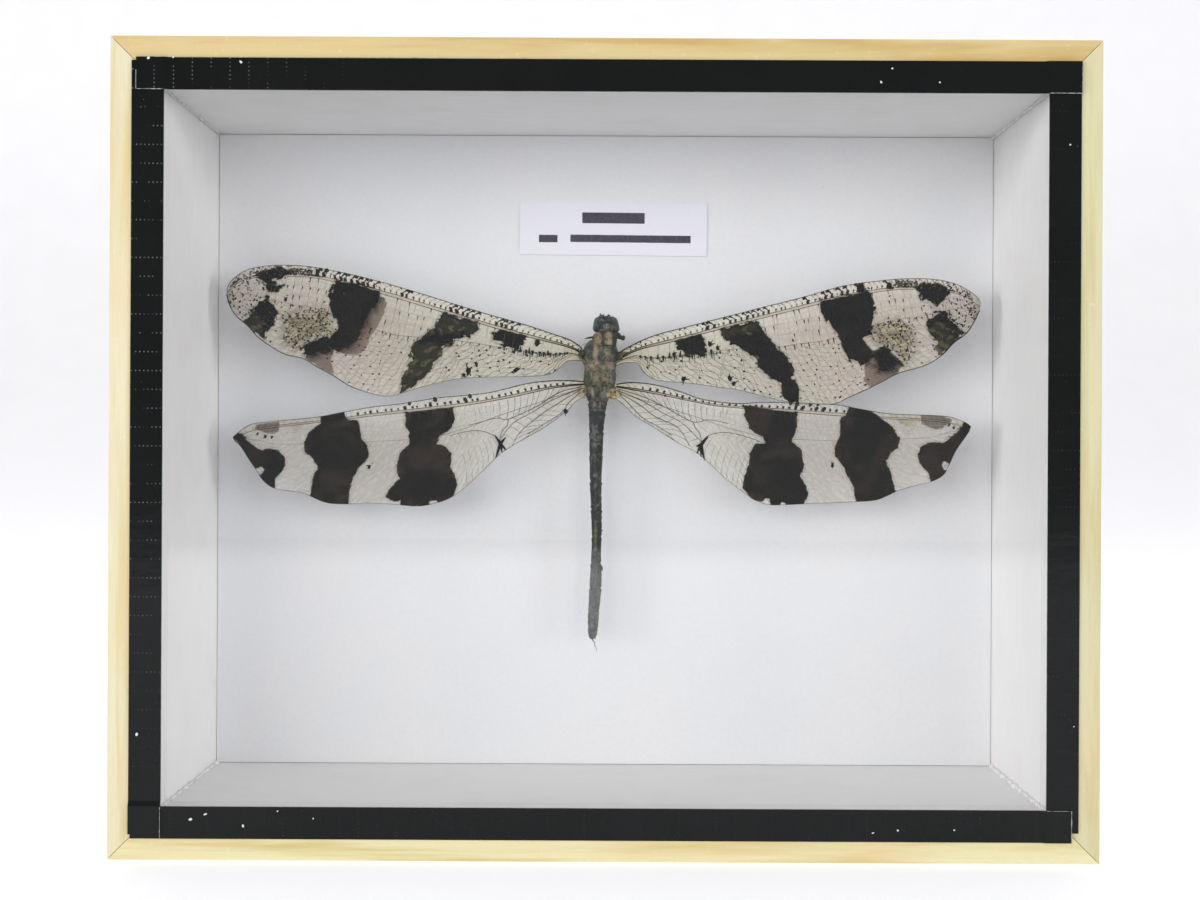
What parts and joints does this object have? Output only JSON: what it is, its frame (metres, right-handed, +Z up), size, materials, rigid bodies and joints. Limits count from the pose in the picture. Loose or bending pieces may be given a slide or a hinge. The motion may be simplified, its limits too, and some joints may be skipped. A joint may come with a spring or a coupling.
{
  "type": "insect shadow box",
  "caption": "Spread antlion specimen on a white card in a shallow mitred wooden box, behind a taped glass front, with a sawtooth hanger on the back",
  "frame": {"origin": "under the middle of the box's bounding box, on the plane it stands on", "axes": "X runs along the width to the viewer's right, Y runs from the glass front to the back, Z is up the height of the box"},
  "size_m": [0.153, 0.0404, 0.127],
  "materials": {
    "pine": "clear satin pine, painted white inside",
    "glass": "clear float glass",
    "black_tape": "glossy black tape with a fine stipple",
    "white_card": "matte white card",
    "hardboard": "bare brown hardboard",
    "label_paper": "matte paper with plain printed bars",
    "hanger_steel": "plated steel",
    "glue": "dried clear glue",
    "cuticle": "mottled grey-brown cuticle with short hair",
    "limb": "dark brown cuticle",
    "wing_membrane": "translucent cream membrane with dark blotches and a net of veins"
  },
  "bodies": {
    "root": {"side_top": "pine", "side_bottom": "pine", "side_left": "pine", "side_right": "pine", "glass_pane": "glass", "tape_top": "black_tape", "tape_bottom": "black_tape", "tape_left": "black_tape", "tape_right": "black_tape", "mount_card": "white_card", "back_board": "hardboard", "name_label": "label_paper", "hanger": "hanger_steel", "hanger_nail_left": "hanger_steel", "hanger_nail_right": "hanger_steel", "glue_dab": "glue", "head": "cuticle", "thorax": "cuticle", "abdomen": "cuticle", "antenna_left": "limb", "antenna_right": "limb", "forewing_left": "wing_membrane", "forewing_right": "wing_membrane", "hindwing_left": "wing_membrane", "hindwing_right": "wing_membrane", "leg_fore_left": "limb", "leg_fore_right": "limb", "leg_mid_left": "limb", "leg_mid_right": "limb", "leg_hind_left": "limb", "leg_hind_right": "limb"}
  },
  "joints": []
}
